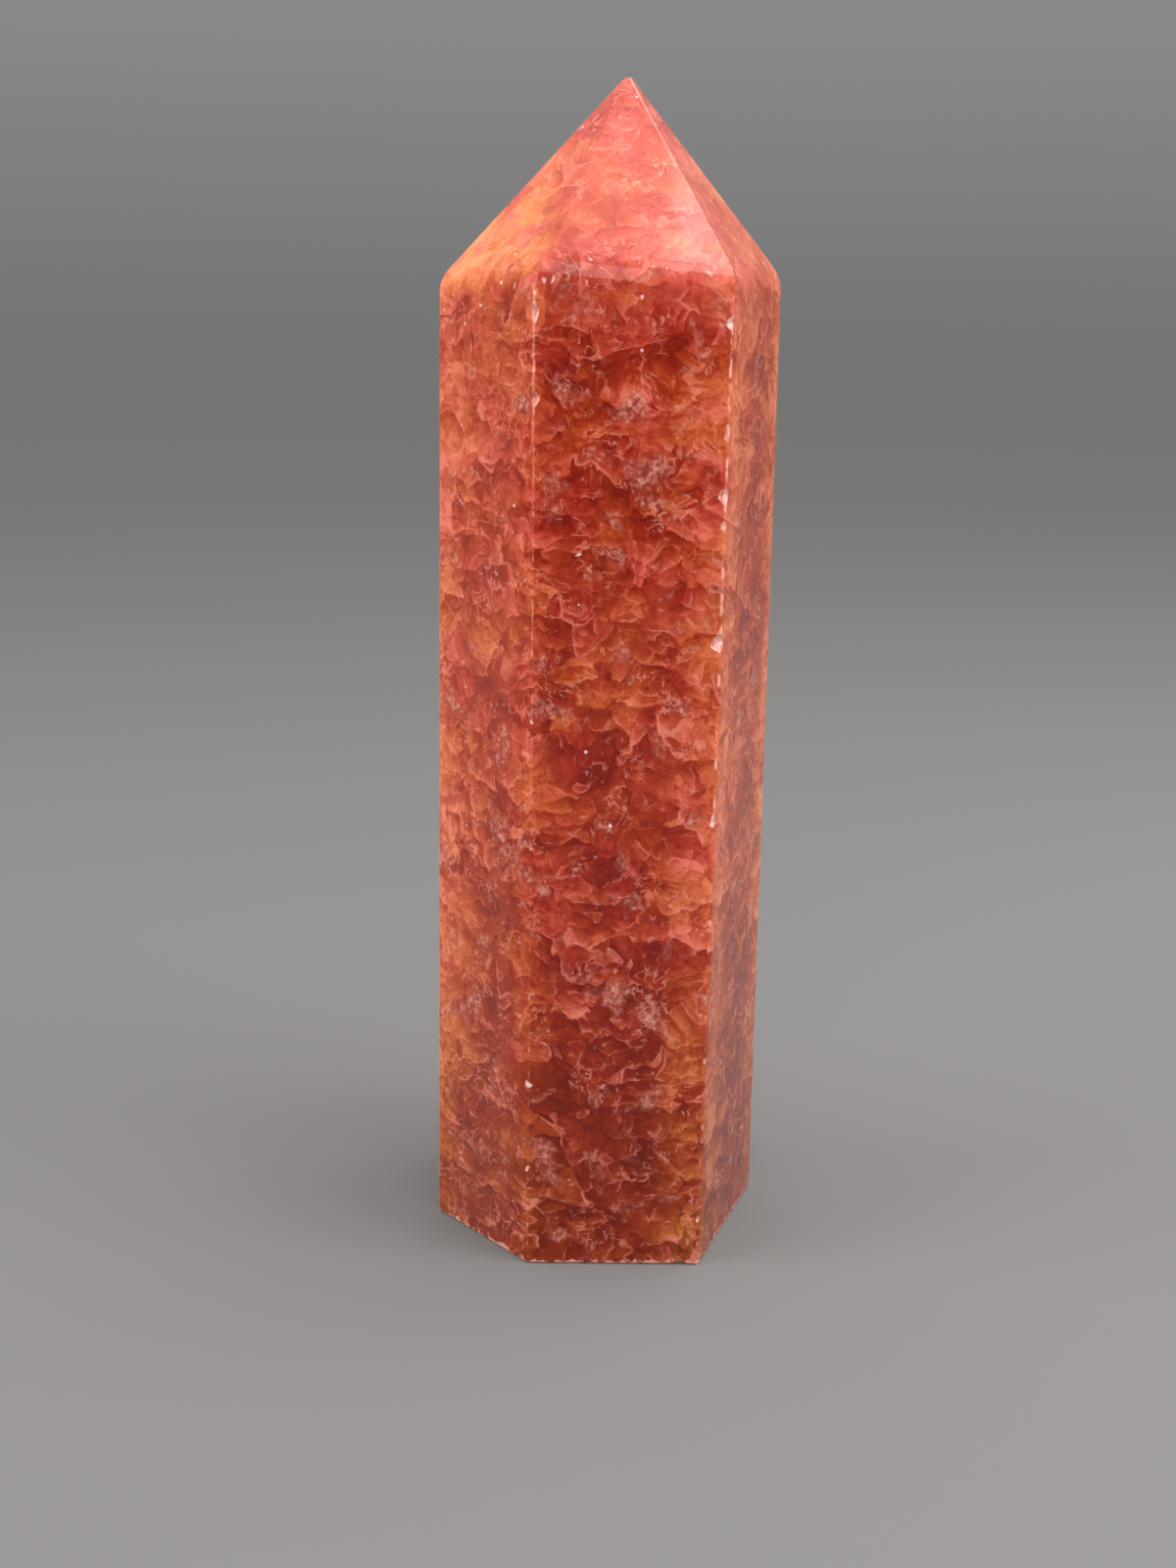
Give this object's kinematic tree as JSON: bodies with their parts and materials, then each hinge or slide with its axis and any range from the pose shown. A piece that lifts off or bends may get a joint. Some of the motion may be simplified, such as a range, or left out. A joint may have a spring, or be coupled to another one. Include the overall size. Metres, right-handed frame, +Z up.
{
  "type": "sunstone point",
  "caption": "Polished six-sided stone column with a faceted point at the top and a flat base to stand on.",
  "frame": {"origin": "on the base, on the axis of the column", "axes": "+Z up along the column to its point, -Y out of the front flat"},
  "size_m": [0.0351, 0.0311, 0.1196],
  "materials": {
    "sunstone": "polished"
  },
  "bodies": {
    "root": {"sunstone_point": "sunstone"}
  },
  "joints": []
}
